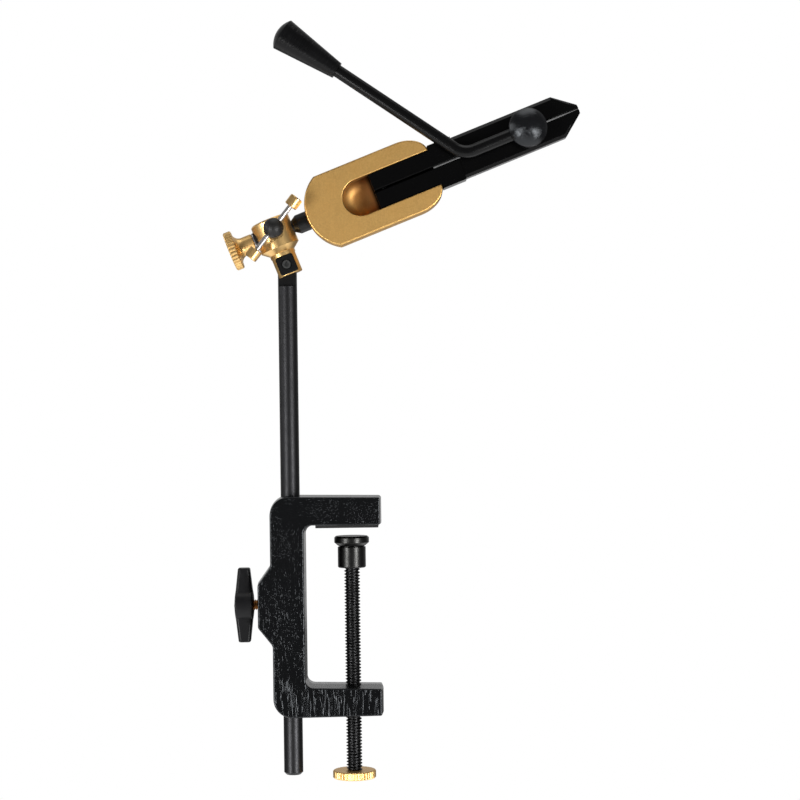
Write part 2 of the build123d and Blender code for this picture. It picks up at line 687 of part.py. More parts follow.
def jaw_blade():
    """Blade of the upper jaw, bevelled outside and brought to a nose."""
    step = MOUTH + BLOCK_LENGTH
    shoulder = step + BLADE_LENGTH
    tip = shoulder + NOSE_LENGTH
    outer = BLOCK_WIDTH / 2 - BLADE_STEP
    back = JAW_BACK - BLADE_STEP
    outline = make_face(Polyline(
        (step, SLIT / 2), (step, outer), (shoulder, outer), (tip, NOSE_WIDTH / 2), (tip, NOSE_GAP / 2),
        (shoulder, SLIT / 2), close=True))
    blade = slab(outline, BLADE_FRONT, back)
    rims = blade.edges().filter_by(lambda edge: edge.center().X > step and edge.center().Z > NOSE_WIDTH / 2)
    blade = chamfer(rims.filter_by(Plane.XZ), BLADE_BEVEL)
    nose_front = BLADE_FRONT + NOSE_DROP
    side = make_face(Polyline(
        (step, BLADE_FRONT), (shoulder, BLADE_FRONT), (tip, nose_front), (tip, nose_front + NOSE_THICKNESS),
        (shoulder, back), (step, back), close=True))
    return blade & extrude(Plane.XY * side, BLOCK_WIDTH)


def jaw_upper():
    """Upper half of the jaws, from the tail in the pocket to the nose."""
    block_start = MOUTH + BLOCK_GAP
    block_length = BLOCK_LENGTH - BLOCK_GAP
    block_height = (BLOCK_WIDTH - SLIT) / 2
    block_outline = Pos(block_start + block_length / 2, SLIT / 2 + block_height / 2) * Rectangle(
        block_length, block_height)
    jaw = jaw_tail() + slab(block_outline, JAW_FRONT, JAW_BACK) + jaw_blade()
    step = MOUTH + BLOCK_LENGTH
    tip = step + BLADE_LENGTH + NOSE_LENGTH
    groove = (SLIT + 2 * SLIT_BEVEL) / sqrt(2)
    for front, start, end in ((JAW_FRONT, MOUTH - TAIL_LENGTH, step), (BLADE_FRONT, step, tip)):
        jaw -= Pos((start + end) / 2, front, 0) * Rot(45, 0, 0) * Box(end - start, groove, groove)
    window = Pos(CAM_U, 0) * Rectangle(CAM_LONG + 2 * FACE_GAP, CAM_SHORT + 2 * CAM_GAP)
    jaw -= slab(window, JAW_FRONT - FACE_GAP, JAW_BACK + FACE_GAP)
    jaw -= jaw_pin_place(1) * y_rod(
        JAW_BACK - JAW_PIN_DEPTH - FACE_GAP, HOLDER_BACK, JAW_PIN_DIAMETER / 2 + RUNNING)
    jaw -= spring_place() * z_rod(0, SPRING_HOLE_DEPTH, SPRING_DIAMETER / 2 + FACE_GAP)
    return jaw


def jaw_lower():
    """Lower half of the jaws, the mirror of the upper."""
    return mirror(jaw_upper(), Plane.XY)


def spring_place():
    """Middle of the spring between the tails, behind the pivots."""
    return Pos(MOUTH - SPRING_BACK, (JAW_FRONT + JAW_BACK) / 2, 0)


def jaw_spring():
    """Coil spring that spreads the tails and so closes the nose."""
    height = 2 * (SPRING_HOLE_DEPTH - SPRING_END_GAP) - SPRING_WIRE
    coil = Helix(height / SPRING_TURNS, height, (SPRING_DIAMETER - SPRING_WIRE) / 2)
    wire = sweep(Plane(coil @ 0, z_dir=coil % 0) * Circle(SPRING_WIRE / 2), path=coil, is_frenet=True)
    return spring_place() * Pos(0, 0, -height / 2) * wire


# The cam and its lever

def cam_shaft():
    """Oval cam in the window between the jaws, with a spigot in the dome."""
    front = BLADE_FRONT - FACE_GAP
    back = JAW_BACK - BLADE_STEP + FACE_GAP
    cam = slab(Ellipse(CAM_LONG / 2, CAM_SHORT / 2), front, back)
    cam += y_rod(front - CAM_SPIGOT, front, CAM_SCREW_DIAMETER / 2)
    cam -= y_rod(back - CAM_SCREW_LENGTH - FACE_GAP, back, CAM_SCREW_DIAMETER / 2 + SEATED)
    return Pos(CAM_U, 0, 0) * cam


def cam_dome():
    """Domed hub in front of the jaws that holds the lever rod."""
    radius = DOME_DIAMETER / 2
    base = BLADE_FRONT - FACE_GAP
    rim = base - DOME_RIM
    dome = y_rod(rim, base, radius)
    dome += Pos(0, rim, 0) * Rot(0, 0, -90) * crown(0, radius, DOME_CROWN)
    dome = fillet(dome.edges().filter_by_position(Axis.Y, rim - FLAT_GAP, rim + FLAT_GAP), DOME_EDGE)
    dome -= y_rod(base - CAM_SPIGOT - FLAT_GAP, base, CAM_SCREW_DIAMETER / 2 + SEATED)
    dome -= Pos(0, ROD_V, 0) * x_rod(-DOME_DIAMETER, ROD_SEAT - radius, ROD_DIAMETER / 2 + SEATED)
    return Pos(CAM_U, 0, 0) * dome


def cam_washer():
    """Washer behind the jaws that keeps the cam in its window."""
    front = JAW_BACK - BLADE_STEP + FACE_GAP
    back = front + CAM_WASHER_THICKNESS
    washer = y_rod(front, back, CAM_WASHER_DIAMETER / 2)
    washer -= y_rod(front, back, CAM_SCREW_DIAMETER / 2 + RUNNING)
    return Pos(CAM_U, 0, 0) * washer


def cam_screw():
    """Screw that holds the washer on the cam."""
    seat = JAW_BACK - BLADE_STEP + FACE_GAP + CAM_WASHER_THICKNESS
    head = CAM_SCREW_DIAMETER / 2
    screw = crosswise([
        (seat - CAM_WASHER_THICKNESS - CAM_SCREW_LENGTH, CAM_SCREW_DIAMETER / 2),
        (seat, CAM_SCREW_DIAMETER / 2),
        (seat, CAM_SCREW_HEAD / 2),
        (seat + head, CAM_SCREW_HEAD / 2),
    ])
    socket = RegularPolygon(SOCKET_FLATS / 2, 6, major_radius=False)
    screw -= Pos(0, seat + head, 0) * extrude(Plane.XZ * socket, head / 2)
    return Pos(CAM_U, 0, 0) * screw


def lever_rod():
    """Bent rod from the dome to the grip."""
    start = (CAM_U - DOME_DIAMETER / 2 + ROD_SEAT, 0)
    corner = (CAM_U - LEVER_RUN, 0)
    reach = LEVER_REACH + GRIP_BORE
    end = (corner[0] - reach * cos(radians(LEVER_ANGLE)), reach * sin(radians(LEVER_ANGLE)))
    path = Pos(0, ROD_V, 0) * (Plane.XZ * FilletPolyline(start, corner, end, radius=LEVER_BEND))
    return sweep(Plane(path @ 0, z_dir=path % 0) * Circle(ROD_DIAMETER / 2), path=path)


def lever_grip():
    """Tapered grip with a crowned end."""
    small = GRIP_SMALL / 2
    large = GRIP_LARGE / 2
    grip = turned([(0, small), (GRIP_LENGTH, large)]) + crown(GRIP_LENGTH, large, GRIP_CROWN)
    grip -= x_rod(0, GRIP_BORE + FLAT_GAP, ROD_DIAMETER / 2 + SEATED)
    along = CAM_U - LEVER_RUN - LEVER_REACH * cos(radians(LEVER_ANGLE))
    up = LEVER_REACH * sin(radians(LEVER_ANGLE))
    return Pos(along, ROD_V, up) * Rot(0, LEVER_ANGLE - 180, 0) * grip


CLAMP_PIECES = {
    "clamp_frame": clamp_frame(),
    "upper_pad": upper_pad(),
    "clamp_screw": clamp_screw(),
    "thumb_wheel": thumb_wheel(),
    "pad_disc": pad_disc(),
    "pad_cup": pad_cup(),
    "lock_tip": lock_tip(),
    "lock_stud": lock_stud(),
    "lock_knob": lock_knob(),
    "post": post(),
    "post_tang": post_tang(),
}
HEAD_PIECES = {
    "knuckle": knuckle(),
    "pivot_screw": pivot_screw(),
    "pivot_nut": pivot_nut(),
    "spindle": spindle(),
    "friction_washer": friction_washer(),
    "thrust_ring": thrust_ring(),
    "tension_knob": tension_knob(),
    "lock_plug": lock_plug(),
    "spindle_lock_screw": spindle_lock_screw(),
    "tommy_bar": tommy_bar(),
    "tommy_cap_front": tommy_cap(1),
    "tommy_cap_rear": tommy_cap(-1),
    "jaw_holder": jaw_holder(),
    "jaw_pin_upper": jaw_pin(1),
    "jaw_pin_lower": jaw_pin(-1),
    "jaw_upper": jaw_upper(),
    "jaw_lower": jaw_lower(),
    "jaw_spring": jaw_spring(),
    "cam_shaft": cam_shaft(),
    "cam_dome": cam_dome(),
    "cam_washer": cam_washer(),
    "cam_screw": cam_screw(),
    "lever_rod": lever_rod(),
    "lever_grip": lever_grip(),
}

os.makedirs("parts", exist_ok=True)
for name, piece in CLAMP_PIECES.items():
    export_step(FRAME * piece, f"parts/{name}.step")
for name, piece in HEAD_PIECES.items():
    export_step(FRAME * HEAD * piece, f"parts/{name}.step")
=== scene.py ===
import json
import logging
from collections.abc import Sequence
from dataclasses import dataclass
from enum import Enum
from math import atan, atan2, hypot, pi, radians, tau
from typing import ClassVar

import bmesh
import bpy
from mathutils import Matrix, Vector


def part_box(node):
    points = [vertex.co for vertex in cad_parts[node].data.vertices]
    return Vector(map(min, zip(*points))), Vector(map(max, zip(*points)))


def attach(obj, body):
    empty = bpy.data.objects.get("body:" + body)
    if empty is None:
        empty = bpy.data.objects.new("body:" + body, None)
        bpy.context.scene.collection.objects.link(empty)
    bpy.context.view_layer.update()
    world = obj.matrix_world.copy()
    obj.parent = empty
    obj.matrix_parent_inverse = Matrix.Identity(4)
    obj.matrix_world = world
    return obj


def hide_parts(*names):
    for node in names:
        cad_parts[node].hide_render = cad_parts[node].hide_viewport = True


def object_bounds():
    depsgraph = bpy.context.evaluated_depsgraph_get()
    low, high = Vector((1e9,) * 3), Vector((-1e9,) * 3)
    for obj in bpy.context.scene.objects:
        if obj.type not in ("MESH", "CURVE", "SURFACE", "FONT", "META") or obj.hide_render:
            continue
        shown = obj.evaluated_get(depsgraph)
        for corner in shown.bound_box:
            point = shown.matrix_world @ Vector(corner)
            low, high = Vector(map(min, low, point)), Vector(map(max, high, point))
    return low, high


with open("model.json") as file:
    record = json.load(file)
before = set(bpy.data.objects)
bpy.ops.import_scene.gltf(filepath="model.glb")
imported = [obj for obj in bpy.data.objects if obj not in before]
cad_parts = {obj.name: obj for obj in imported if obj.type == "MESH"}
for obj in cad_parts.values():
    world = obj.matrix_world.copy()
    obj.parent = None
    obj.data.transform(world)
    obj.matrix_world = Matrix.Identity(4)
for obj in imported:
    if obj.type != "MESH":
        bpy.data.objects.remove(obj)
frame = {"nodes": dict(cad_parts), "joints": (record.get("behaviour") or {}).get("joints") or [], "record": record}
CAD_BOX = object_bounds()

log = logging.getLogger("vise")

MM = 0.001
MERGE = 1e-6
Colour = tuple[float, float, float]
Point = tuple[float, float]


class Value:
    """A number that varies over a surface: operators on it add Math nodes."""

    def __init__(self, shader: "Shader", socket: bpy.types.NodeSocket) -> None:
        """Keep the shader and the socket that carries the number."""
        self.shader = shader
        self.socket = socket

    def _math(self, operation: str, first: object, second: object) -> "Value":
        """Add one Math node.

        Args:
            operation: Name of the node's operation.
            first: Left value, a Value or a number.
            second: Right value, a Value or a number.

        Returns:
            The node's result.
        """
        return self.shader.node("ShaderNodeMath", {"operation": operation}, {0: first, 1: second})

    def __add__(self, other: object) -> "Value":
        """Sum."""
        return self._math("ADD", self, other)

    def __sub__(self, other: object) -> "Value":
        """Difference."""
        return self._math("SUBTRACT", self, other)

    def __rsub__(self, other: object) -> "Value":
        """Difference with a number on the left."""
        return self._math("SUBTRACT", other, self)

    def __mul__(self, other: object) -> "Value":
        """Product."""
        return self._math("MULTIPLY", self, other)

    def __truediv__(self, other: object) -> "Value":
        """Quotient."""
        return self._math("DIVIDE", self, other)

    def most(self, other: object) -> "Value":
        """Larger of two values."""
        return self._math("MAXIMUM", self, other)


class Shader:
    """Node tree of one material or of the world."""

    def __init__(self, tree: bpy.types.NodeTree) -> None:
        """Start an empty tree."""
        self.tree = tree
        tree.nodes.clear()

    def node(self, kind: str, settings: dict | None = None, inputs: dict | None = None,
             output: int | str = 0) -> Value:
        """Add a node.

        Args:
            kind: Type name of the node.
            settings: Properties set first; "stops" fills a ramp with (place, colour) pairs.
            inputs: Values, Values with links, or plain numbers by socket name or index.
            output: Socket that the result is read from.

        Returns:
            The chosen output.
        """
        made = self.tree.nodes.new(kind)
        for name, setting in (settings or {}).items():
            if name == "stops":
                self._fill_ramp(made.color_ramp, setting)
            else:
                setattr(made, name, setting)
        for name, value in (inputs or {}).items():
            if isinstance(value, Value):
                self.tree.links.new(value.socket, made.inputs[name])
            else:
                made.inputs[name].default_value = value
        outputs = made.outputs
        return Value(self, outputs[output]) if len(outputs) else Value(self, None)

    @staticmethod
    def _fill_ramp(ramp: bpy.types.ColorRamp, stops: Sequence[tuple[float, float]]) -> None:
        """Set a ramp's stops.

        Args:
            ramp: Ramp of a Color Ramp node.
            stops: Place and grey level of each stop.
        """
        while len(ramp.elements) < len(stops):
            ramp.elements.new(1.0)
        for element, (place, level) in zip(ramp.elements, stops):
            element.position = place
            element.color = (level, level, level, 1.0)

    def place(self, turn: Sequence[float] = (0, 0, 0), scale: Sequence[float] = (1, 1, 1),
              shift: Sequence[float] = (0, 0, 0)) -> Value:
        """Object coordinates, turned, shifted and scaled.

        Args:
            turn: Turn about each axis in radians.
            scale: Scale along each axis after the turn.
            shift: Shift after the turn, in metres.

        Returns:
            The coordinates.
        """
        coordinates = self.node("ShaderNodeTexCoord", output="Object")
        turned = self.node("ShaderNodeMapping", {"vector_type": "POINT"}, {
            "Vector": coordinates, "Rotation": turn, "Location": shift})
        return self.node("ShaderNodeVectorMath", {"operation": "MULTIPLY"}, {0: turned, 1: scale})

    def part_of(self, vector: Value, axis: str) -> Value:
        """One coordinate of a vector, by the axis' letter."""
        return self.node("ShaderNodeSeparateXYZ", None, {0: vector}, axis)

    def share(self, value: Value, start: float, end: float) -> Value:
        """Share that grows from 0 to 1 as a value goes from start to end, and stays within them."""
        return self.node("ShaderNodeMapRange", {"clamp": True}, {
            "Value": value, "From Min": start, "From Max": end})

    def noise(self, vector: Value, scale: float, detail: float = 3.0, roughness: float = 0.55) -> Value:
        """Noise from 0 to 1.

        Args:
            vector: Coordinates.
            scale: Features per unit.
            detail: Octaves.
            roughness: Weight of the finer octaves.

        Returns:
            The noise.
        """
        return self.node("ShaderNodeTexNoise", None, {
            "Vector": vector, "Scale": scale, "Detail": detail, "Roughness": roughness}, "Fac")

    def ramp(self, value: Value, *stops: tuple[float, float]) -> Value:
        """Remap a value by straight runs between (place, level) stops."""
        return self.node("ShaderNodeValToRGB", {"stops": stops}, {"Fac": value}, "Color")

    def blend(self, factor: Value, first: object, second: object) -> Value:
        """Mix two colours.

        Args:
            factor: Share of the second colour.
            first: Colour, or a link to one.
            second: Colour, or a link to one.

        Returns:
            The mixed colour.
        """
        colours = [c if isinstance(c, Value) else (*c, 1.0) for c in (first, second)]
        return self.node("ShaderNodeMix", {"data_type": "RGBA"}, {
            "Factor": factor, 6: colours[0], 7: colours[1]}, 2)

    def bump(self, height: Value, strength: float, depth: float) -> Value:
        """Normal from a height.

        Args:
            height: Height from 0 to 1.
            strength: Share of the bump that is used.
            depth: Height of 1, in metres.

        Returns:
            The normal.
        """
        return self.node("ShaderNodeBump", None, {
            "Height": height, "Strength": strength, "Distance": depth}, "Normal")


class Lay(Enum):
    """Direction of a metal's tool marks."""

    ALONG_HEAD = "along_head"
    ROUND_HEAD = "round_head"
    ROUND_DRUM = "round_drum"
    ALONG_POST = "along_post"
    ROUND_POST = "round_post"
    FRONT_TURNED = "front_turned"
    ALONG_LEVER = "along_lever"
    ROUND_LEVER = "round_lever"


SPINDLE = next(joint for joint in frame["joints"] if joint["name"] == "spindle_turn")
HEAD_AXIS = Vector(SPINDLE["axis"]).normalized()
HEAD_CENTRE = Vector(SPINDLE["pos_m"])
HEAD_TILT = atan2(HEAD_AXIS.z, HEAD_AXIS.x)
LEVER_TO_HEAD = radians(55.8)
LEVER_TILT = HEAD_TILT - LEVER_TO_HEAD
BLUE_SHEEN = (0.9, 0.95, 1.0, 1.0)
FINE, COARSE = 2600.0, 45.0
LAY_TURN: dict[Lay, float] = {
    Lay.ALONG_HEAD: HEAD_TILT, Lay.ROUND_HEAD: HEAD_TILT, Lay.ROUND_DRUM: HEAD_TILT,
    Lay.ALONG_POST: 0.0, Lay.ROUND_POST: 0.0, Lay.FRONT_TURNED: 0.0,
    Lay.ALONG_LEVER: LEVER_TILT, Lay.ROUND_LEVER: LEVER_TILT,
}
LAY_SCALE: dict[Lay, tuple[float, float, float]] = {
    Lay.ALONG_HEAD: (COARSE, FINE, FINE), Lay.ROUND_HEAD: (FINE, COARSE, COARSE),
    Lay.ROUND_DRUM: (COARSE, COARSE, FINE), Lay.ALONG_POST: (FINE, FINE, COARSE),
    Lay.ROUND_POST: (COARSE, COARSE, FINE), Lay.FRONT_TURNED: (COARSE, FINE, COARSE),
    Lay.ALONG_LEVER: (COARSE, FINE, FINE), Lay.ROUND_LEVER: (FINE, COARSE, COARSE),
}


@dataclass(frozen=True)
class Finish:
    """What every finish has: a name, a colour and how rough it is."""

    name: str
    colour: Colour
    roughness: float

    def material(self) -> bpy.types.Material:
        """Material of this finish.

        Returns:
            The new material.
        """
        made = bpy.data.materials.new(self.name)
        made.use_nodes = True
        shader = Shader(made.node_tree)
        surface = self.surface(shader)
        shader.node("ShaderNodeOutputMaterial", None, {"Surface": surface})
        made.diffuse_color = (*self.colour, 1.0)
        return made

    def surface(self, shader: Shader) -> Value:
        """Surface of this finish, filled in by each kind."""
        raise NotImplementedError


@dataclass(frozen=True)
class ToolMarkedMetal(Finish):
    """Metal with fine tool marks, faint stains and a little wear."""

    STAINS_PER_METRE: ClassVar[float] = 95.0
    PORES_PER_METRE: ClassVar[float] = 3200.0
    MARK_TINT: ClassVar[float] = 0.45
    PORE_TINT: ClassVar[float] = 0.25
    TINT_SHARE: ClassVar[float] = 0.8
    MARK_ROUGHNESS: ClassVar[float] = 0.16
    STAIN_ROUGHNESS: ClassVar[float] = 0.06
    PORE_HEIGHT: ClassVar[float] = 0.25
    MARK_HEIGHT: ClassVar[float] = 0.02 * MM

    lay: Lay
    shade: Colour
    mark_depth: float = 0.5
    metallic: float = 1.0
    specular: float = 0.5
    stain: float = 0.5

    def surface(self, shader: Shader) -> Value:
        """Marks roughen and tint the metal, and stains darken it in soft patches.

        Args:
            shader: Shader that is being built.

        Returns:
            The surface.
        """
        along = shader.place((0, LAY_TURN[self.lay], 0), LAY_SCALE[self.lay])
        marks = shader.noise(along, 1.0, 4.0, 0.6)
        plain = shader.place()
        stains = shader.ramp(shader.noise(plain, self.STAINS_PER_METRE, 4.0, 0.6), (0.35, 0.0), (0.72, 1.0))
        pores = shader.ramp(shader.noise(plain, self.PORES_PER_METRE, 2.0), (0.45, 0.0), (0.75, 1.0))
        tint = (stains * self.stain + marks * self.MARK_TINT + pores * self.PORE_TINT) * self.TINT_SHARE
        mean = (self.MARK_ROUGHNESS + self.STAIN_ROUGHNESS) / 2
        rough = marks * self.MARK_ROUGHNESS + stains * self.STAIN_ROUGHNESS + (self.roughness - mean)
        height = self.raised(shader, marks + pores * self.PORE_HEIGHT)
        return shader.node("ShaderNodeBsdfPrincipled", None, {
            "Base Color": self.stain_and_shade(shader, shader.blend(tint, self.colour, self.shade)),
            "Metallic": self.metallic,
            "Roughness": self.worn(shader, rough),
            "Specular IOR Level": self.specular,
            "Normal": shader.bump(height, self.mark_depth, self.MARK_HEIGHT),
        }, "BSDF")

    def stain_and_shade(self, shader: Shader, colour: Value) -> Value:
        """Colour after any staining or painted shade of its own."""
        return colour

    def worn(self, shader: Shader, rough: Value) -> Value:
        """Roughness after any wear of its own."""
        return rough

    def raised(self, shader: Shader, height: Value) -> Value:
        """Height after any form of its own."""
        return height


@dataclass(frozen=True)
class RingedBlack(ToolMarkedMetal):
    """Black grip with shallow uneven rings along its axis."""

    ring_spacing: float = 1.8 * MM
    ring_height: float = 9.0

    def raised(self, shader: Shader, height: Value) -> Value:
        """Rings that break up the highlight along the grip."""
        along = shader.place((0, LAY_TURN[self.lay], 0), (1 / self.ring_spacing, 0, 0))
        return height + shader.noise(along, 1.0, 1.0) * self.ring_height


@dataclass(frozen=True)
class ForkBrass(ToolMarkedMetal):
    """Brass of the fork: its edges are worn bright, and painted shade darkens the pocket towards the jaws."""

    # Painted shade in the pocket: brown towards the jaws, nearly black under the jaws.
    pocket_shade: Colour = (0.36, 0.145, 0.045)
    pocket_shade_share: float = 0.9
    shadow_under_jaws: Colour = (0.004, 0.003, 0.002)
    pocket_dull: float = 0.14
    grain: float = 1300.0
    grain_share: float = 0.45
    polish: float = 0.5
    pocket_half: float = 9.3 * MM
    pocket_front: float = -7.6 * MM
    pocket_floor: float = 5.6 * MM
    pocket_edge: float = 0.2 * MM
    pocket_fade: float = 2.0 * MM
    pocket_shade_start: float = 37.0 * MM
    pocket_shade_end: float = 52.0 * MM

    def pocket(self, shader: Shader) -> tuple[Value, Value]:
        """Share that is 1 in the pocket and 0 outside it, and the place along the head.

        Args:
            shader: Shader that is being built.

        Returns:
            The share, and the place in metres from the spindle's centre.
        """
        turned_centre = Matrix.Rotation(HEAD_TILT, 3, "Y") @ HEAD_CENTRE
        place = shader.place((0, HEAD_TILT, 0), shift=-turned_centre)
        across, deep = shader.part_of(place, "Z"), shader.part_of(place, "Y")
        width = shader.share(across.most(0 - across), self.pocket_half, self.pocket_half - self.pocket_edge)
        depth = shader.share(deep, self.pocket_front, self.pocket_front + self.pocket_fade)
        above_back = shader.share(deep, self.pocket_floor, self.pocket_floor - self.pocket_edge)
        return width * depth * above_back, shader.part_of(place, "X")

    def stain_and_shade(self, shader: Shader, colour: Value) -> Value:
        """Grain, then painted shade in the pocket: brown towards the jaws and nearly black under them.

        Args:
            shader: Shader that is being built.
            colour: Colour of the bare brass.

        Returns:
            The grained colour with painted shade.
        """
        grain = shader.ramp(shader.noise(shader.place(), self.grain, 2.0), (0.35, 0.0), (0.7, 1.0))
        colour = shader.blend(grain * self.grain_share, colour, self.shade)
        # Painted shade: brown in the pocket towards the jaws, nearly black under them.
        pocket, along = self.pocket(shader)
        near = shader.share(along, self.pocket_shade_start, self.pocket_shade_end)
        under = shader.share(along, self.pocket_shade_end, self.pocket_shade_end + self.pocket_fade)
        pocket_shaded = shader.blend(pocket * near * self.pocket_shade_share, colour, self.pocket_shade)
        return shader.blend(pocket * under, pocket_shaded, self.shadow_under_jaws)

    def worn(self, shader: Shader, rough: Value) -> Value:
        """Smoother on the outer chamfers, whose faces slant between the front and the sides.

        Args:
            shader: Shader that is being built.
            rough: Roughness of the bare brass.

        Returns:
            The worn roughness.
        """
        normal = shader.part_of(shader.node("ShaderNodeTexCoord", output="Normal"), "Y")
        slant = shader.ramp(normal.most(0 - normal), (0.25, 0.0), (0.4, 1.0), (0.88, 1.0), (0.97, 0.0))
        pocket, _ = self.pocket(shader)
        return rough * (1 - slant * (1 - pocket) * self.polish) + pocket * self.pocket_dull


@dataclass(frozen=True)
class Streaks:
    """Narrow upright lines that stand up from paint."""

    lean: float
    across: float
    along: float
    least: float
    height: float
    flank: float = 0.1

    def raised(self, shader: Shader) -> Value:
        """Height of the lines from 0 to 1, where noise stretched along them is above its least value.

        Args:
            shader: Shader that is being built.

        Returns:
            The height.
        """
        stretched = shader.place((0, self.lean, 0), (self.across, self.across, self.along))
        noise = shader.noise(stretched, 1.0, 0.0)
        return shader.ramp(noise, (self.least, 0.0), (self.least + self.flank, 1.0))


@dataclass(frozen=True)
class WrinklePaint(Finish):
    """Thick black paint on a rough casting: pimples above, rows of specks in the middle, runs below."""

    GRAIN_TINT: ClassVar[float] = 0.4
    GRAIN_ROUGHNESS: ClassVar[float] = 0.1

    shine: Colour
    specular: float
    depth: float
    grains_per_metre: float = 900.0
    pimples_per_metre: float = 1400.0
    pimple_height: float = 0.35
    pimples_lost_low: float = 0.7
    patches_per_metre: float = 110.0
    specks_per_metre: float = 1700.0
    speck_flattening: float = 0.55
    rows: Streaks = Streaks(lean=0.05, across=1700.0, along=120.0, least=0.44, height=0.07)
    runs: Streaks = Streaks(lean=0.0, across=1700.0, along=90.0, least=0.57, height=0.18)
    rows_above: float = 0.0
    rows_below: float = -0.03
    runs_above: float = -0.07
    runs_below: float = -0.08

    def surface(self, shader: Shader) -> Value:
        """Pimples, specks and long runs stand up from the ground and catch the light.

        Args:
            shader: Shader that is being built.

        Returns:
            The surface.
        """
        plain = shader.place()
        grain = shader.noise(plain, self.grains_per_metre, 2.0, 0.5)
        return shader.node("ShaderNodeBsdfPrincipled", None, {
            "Base Color": shader.blend(grain * self.GRAIN_TINT, self.colour, self.shine),
            "Roughness": grain * self.GRAIN_ROUGHNESS + (self.roughness - self.GRAIN_ROUGHNESS / 2),
            "Specular IOR Level": self.specular,
            "Specular Tint": BLUE_SHEEN,
            "Normal": shader.bump(self.height(shader, plain), 1.0, self.depth),
        }, "BSDF")

    def height(self, shader: Shader, plain: Value) -> Value:
        """Height of the paint.

        Args:
            shader: Shader that is being built.
            plain: Object coordinates.

        Returns:
            The height from 0 to 1.
        """
        pimples = shader.ramp(shader.noise(plain, self.pimples_per_metre, 1.0), (0.62, 0.0), (0.74, 1.0))
        patches = shader.ramp(shader.noise(plain, self.patches_per_metre, 3.0), (0.42, 0.1), (0.62, 1.0))
        tall = shader.place(scale=(1.0, 1.0, self.speck_flattening))
        specks = shader.ramp(shader.noise(tall, self.specks_per_metre, 0.0), (0.44, 0.0), (0.6, 1.0))
        level = shader.part_of(plain, "Z")
        low = shader.share(level, self.rows_above, self.rows_below)
        lowest = shader.share(level, self.runs_above, self.runs_below)
        pimpled = pimples * patches * (1 - low * self.pimples_lost_low) * self.pimple_height
        specked = self.rows.raised(shader) * specks * low * (1 - lowest) * self.rows.height
        return pimpled + specked + self.runs.raised(shader) * lowest * self.runs.height


@dataclass(frozen=True)
class Moulded(Finish):
    """Moulded plastic, rubber, fibre or smooth black paint with a faint texture."""

    SCUFFS_PER_METRE: ClassVar[float] = 240.0
    SCUFF_TINT: ClassVar[float] = 0.5
    GRAIN_TINT: ClassVar[float] = 0.3
    GRAIN_ROUGHNESS: ClassVar[float] = 0.1
    SCUFF_ROUGHNESS: ClassVar[float] = 0.08

    shade: Colour
    grain: float
    grain_depth: float
    specular: float = 0.5

    def surface(self, shader: Shader) -> Value:
        """A fine grain and soft scuffs.

        Args:
            shader: Shader that is being built.

        Returns:
            The surface.
        """
        plain = shader.place()
        grain = shader.noise(plain, self.grain, 3.0, 0.6)
        scuffs = shader.ramp(shader.noise(plain, self.SCUFFS_PER_METRE, 5.0, 0.65), (0.5, 0.0), (0.75, 1.0))
        tint = scuffs * self.SCUFF_TINT + grain * self.GRAIN_TINT
        rough = grain * self.GRAIN_ROUGHNESS + scuffs * self.SCUFF_ROUGHNESS
        return shader.node("ShaderNodeBsdfPrincipled", None, {
            "Base Color": shader.blend(tint, self.colour, self.shade),
            "Roughness": rough + (self.roughness - self.SCUFF_ROUGHNESS),
            "Specular IOR Level": self.specular,
            "Normal": shader.bump(grain, 0.5, self.grain_depth),
        }, "BSDF")


@dataclass(frozen=True)
class TurnedBlack(Finish):
    """Black paint over fine turning marks, which run in rings about a node's middle."""

    SCUFFS_PER_METRE: ClassVar[float] = 420.0
    SCUFF_TINT: ClassVar[float] = 0.6
    SCUFF_PALENESS: ClassVar[float] = 3.0
    SCUFF_ROUGHNESS: ClassVar[float] = 0.1

    node: str
    specular: float
    ring_spacing: float = 0.09 * MM
    ring_depth: float = 0.06 * MM

    def surface(self, shader: Shader) -> Value:
        """The rings stretch each highlight from the rim towards the middle.

        Args:
            shader: Shader that is being built.

        Returns:
            The surface.
        """
        low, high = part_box(self.node)
        middle = (low + high) / 2
        flat = shader.place(scale=(1, 0, 1), shift=-middle)
        radius = shader.node("ShaderNodeVectorMath", {"operation": "LENGTH"}, {0: flat}, "Value")
        ring = shader.node("ShaderNodeCombineXYZ", None, {0: radius / self.ring_spacing})
        rings = shader.noise(ring, 1.0, 2.0)
        scuffs = shader.noise(shader.place(), self.SCUFFS_PER_METRE, 4.0, 0.6)
        pale = tuple(self.SCUFF_PALENESS * part for part in self.colour)
        return shader.node("ShaderNodeBsdfPrincipled", None, {
            "Base Color": shader.blend(scuffs * self.SCUFF_TINT, self.colour, pale),
            "Roughness": scuffs * self.SCUFF_ROUGHNESS + (self.roughness - self.SCUFF_ROUGHNESS / 2),
            "Specular IOR Level": self.specular,
            "Specular Tint": BLUE_SHEEN,
            "Normal": shader.bump(rings, 1.0, self.ring_depth),
        }, "BSDF")


